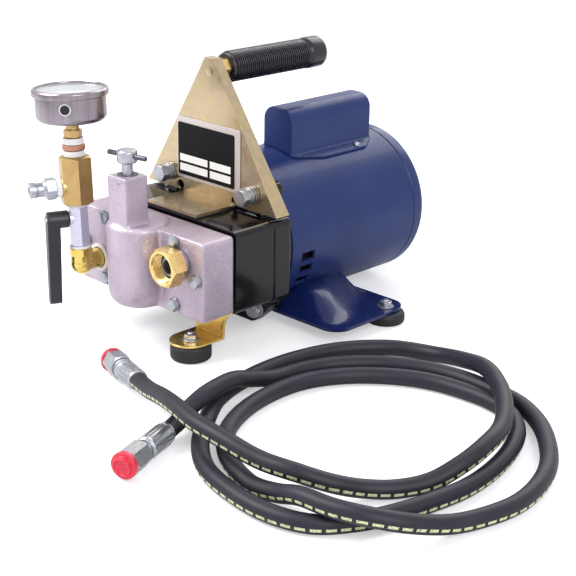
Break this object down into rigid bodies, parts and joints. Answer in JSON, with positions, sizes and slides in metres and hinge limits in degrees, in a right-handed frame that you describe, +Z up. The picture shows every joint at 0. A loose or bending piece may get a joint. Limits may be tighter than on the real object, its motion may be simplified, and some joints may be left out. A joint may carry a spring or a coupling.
{
  "type": "hydrostatic test pump",
  "caption": "Electric hydrostatic test pump with plunger head, motor, carrying handle, gauge stack, relief screw, inlet swivel and a capped pressure hose.",
  "frame": {"origin": "floor level, under the middle of the pump's box without the loose hose", "axes": "+Z up, +Y from the pump head towards the motor along the shaft, +X to the side of the single front foot and the hose"},
  "size_m": [0.5279, 0.4764, 0.2405],
  "materials": {
    "cast_aluminium": "sand cast, lightly tumbled",
    "black_paint": "glossy black enamel",
    "navy_paint": "semi-gloss navy paint",
    "blue_paint": "semi-gloss deep blue paint",
    "machined_steel": "machined",
    "zinc_plate": "bright zinc plate",
    "yellow_zinc": "yellow passivated zinc",
    "winding": "lacquered copper on laminations",
    "brass": "turned brass",
    "rubber": "moulded",
    "black_plastic": "moulded",
    "hose_rubber": "wrapped cover with a plain dashed layline",
    "red_plastic": "soft moulded",
    "dial_white": "white enamel with plain ticks and numbers",
    "clear_glass": "flat window",
    "label_plate": "blank printed plate"
  },
  "bodies": {
    "pump": {"pump_head": "cast_aluminium", "head_bolt_left_top": "zinc_plate", "head_bolt_left_outer": "zinc_plate", "head_bolt_left_bottom": "zinc_plate", "head_bolt_right_top": "zinc_plate", "head_bolt_right_outer": "zinc_plate", "head_bolt_right_bottom": "zinc_plate", "seal_plate": "rubber", "crankcase": "black_paint", "adapter": "black_paint", "front_end_bell": "black_paint", "motor_shell": "navy_paint", "rear_end_bell": "navy_paint", "stator": "winding", "front_bearing": "machined_steel", "rear_bearing": "machined_steel", "capacitor_cover": "navy_paint", "start_capacitor": "black_plastic", "motor_base_left": "blue_paint", "motor_base_right": "blue_paint", "rear_foot_left": "rubber", "rear_foot_right": "rubber", "front_foot": "rubber", "front_foot_bracket": "yellow_zinc", "handle_bracket": "yellow_zinc", "nameplate": "label_plate", "bracket_bolt_left": "zinc_plate", "bracket_bolt_right": "zinc_plate", "adapter_bolt_left": "zinc_plate", "adapter_bolt_right": "zinc_plate", "handle_stud": "brass", "handle_grip": "rubber", "relief_spring_seat": "brass", "relief_spring": "machined_steel", "inlet_adapter": "brass", "outlet_elbow": "brass", "valve_body": "zinc_plate", "brass_tee": "brass", "hose_fitting": "zinc_plate", "gauge_bushing": "brass", "gauge_case": "zinc_plate", "gauge_dial": "dial_white", "gauge_lens": "clear_glass", "gauge_bezel": "zinc_plate", "hose": "hose_rubber", "hose_end_a": "zinc_plate", "hose_end_b": "zinc_plate"},
    "rotor": {"motor_shaft": "machined_steel", "rotor_core": "machined_steel", "cooling_fan": "black_plastic"},
    "rocker": {"rocker": "machined_steel"},
    "plunger_left": {"plunger_left": "machined_steel"},
    "plunger_right": {"plunger_right": "machined_steel"},
    "relief_screw": {"relief_screw": "machined_steel"},
    "swivel_nut": {"inlet_swivel_nut": "brass"},
    "valve_handle": {"valve_lever": "black_plastic", "valve_ball": "machined_steel"},
    "gauge_needle": {"gauge_needle": "black_plastic"},
    "cap_a": {"cap_a": "red_plastic"},
    "cap_b": {"cap_b": "red_plastic"}
  },
  "joints": [
    {"name": "rotor_spin", "type": "hinge", "parent": "pump", "child": "rotor", "pos_m": [0, 0.05, 0.076], "axis": [0, 1, 0], "continuous": true},
    {"name": "rocker_swing", "type": "hinge", "parent": "pump", "child": "rocker", "pos_m": [0, -0.0723, 0.076], "axis": [0, 0, 1], "range_deg": [-6, 6]},
    {"name": "plunger_left_slide", "type": "slide", "parent": "pump", "child": "plunger_left", "axis": [0, 1, 0], "range_m": [-0.0047, 0.0047]},
    {"name": "plunger_right_slide", "type": "slide", "parent": "pump", "child": "plunger_right", "axis": [0, 1, 0], "range_m": [-0.0047, 0.0047]},
    {"name": "relief_turn", "type": "hinge", "parent": "pump", "child": "relief_screw", "pos_m": [0, -0.132, 0.15], "axis": [0, 0, 1], "range_deg": [-360, 720]},
    {"name": "swivel_turn", "type": "hinge", "parent": "pump", "child": "swivel_nut", "pos_m": [0.051, -0.134, 0.086], "axis": [0, 1, 0], "continuous": true},
    {"name": "lever_turn", "type": "hinge", "parent": "pump", "child": "valve_handle", "pos_m": [-0.05586, -0.1413, 0.10446], "axis": [-0.4221, -0.9063, -0.0199], "range_deg": [-90, 0]},
    {"name": "needle_turn", "type": "hinge", "parent": "pump", "child": "gauge_needle", "pos_m": [-0.06069, -0.1413, 0.20684], "axis": [-0.0471, 0, 0.9989], "range_deg": [-270, 0]},
    {"name": "cap_a_pull", "type": "slide", "parent": "pump", "child": "cap_a", "axis": [-0.9415, 0.3205, -0.1042], "range_m": [0, 0.02]},
    {"name": "cap_b_pull", "type": "slide", "parent": "pump", "child": "cap_b", "axis": [0.336, -0.9419, 0], "range_m": [0, 0.02]}
  ],
  "couplings": [
    {"joint": "plunger_left_slide", "follows": "rocker_swing", "m_per_rad": -0.0442},
    {"joint": "plunger_right_slide", "follows": "rocker_swing", "m_per_rad": 0.0442}
  ]
}
